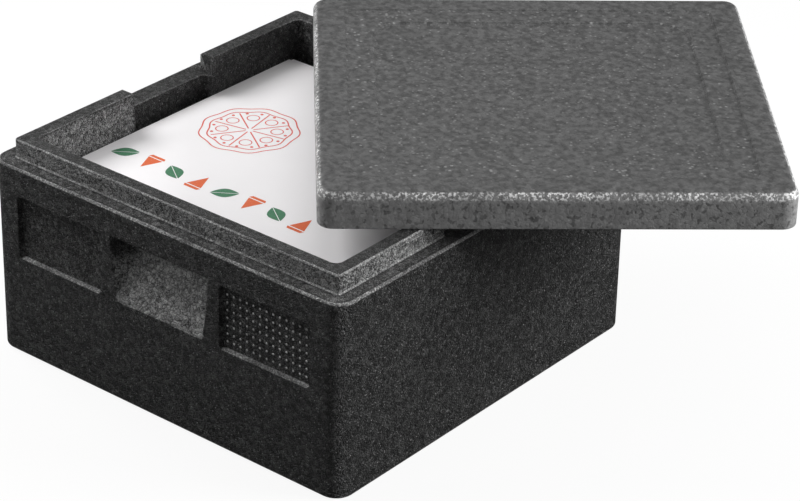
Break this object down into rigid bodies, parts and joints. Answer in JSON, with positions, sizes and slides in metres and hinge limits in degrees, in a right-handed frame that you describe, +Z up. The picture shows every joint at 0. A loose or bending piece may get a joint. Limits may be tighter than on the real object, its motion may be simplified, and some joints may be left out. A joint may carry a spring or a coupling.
{
  "type": "insulated pizza box",
  "caption": "Moulded foam box with a raised inner rim, hand holds and label fields, its loose grooved lid lying turned on the rim, and a stack of pizza cartons inside.",
  "frame": {"origin": "centre of the box's flat base, on the surface that it stands on", "axes": "+Z up; -Y is the front face with the hand hold and label fields that the picture shows at left; +X is the plain face at right"},
  "size_m": [0.627, 0.6314, 0.2433],
  "materials": {
    "foam_body": "matt charcoal bead foam with a fine grain of fused beads",
    "foam_lid": "matt grey bead foam with mottled beads and worn, lighter edges",
    "carton_board": "white clay-coated corrugated board, plain printing on the top"
  },
  "bodies": {
    "box": {"box_body": "foam_body"},
    "lid": {"lid": "foam_lid"},
    "carton_stack": {"carton_1_tray": "carton_board", "carton_1_cover": "carton_board", "carton_2_tray": "carton_board", "carton_2_cover": "carton_board", "carton_3_tray": "carton_board", "carton_3_cover": "carton_board", "carton_4_tray": "carton_board", "carton_4_cover": "carton_board"}
  },
  "joints": [
    {"name": "lid_lift", "type": "slide", "parent": "box", "child": "lid", "axis": [0, 0, 1], "range_m": [0, 0.2]},
    {"name": "stack_lift", "type": "slide", "parent": "box", "child": "carton_stack", "axis": [0, 0, 1], "range_m": [0, 0.035]}
  ]
}
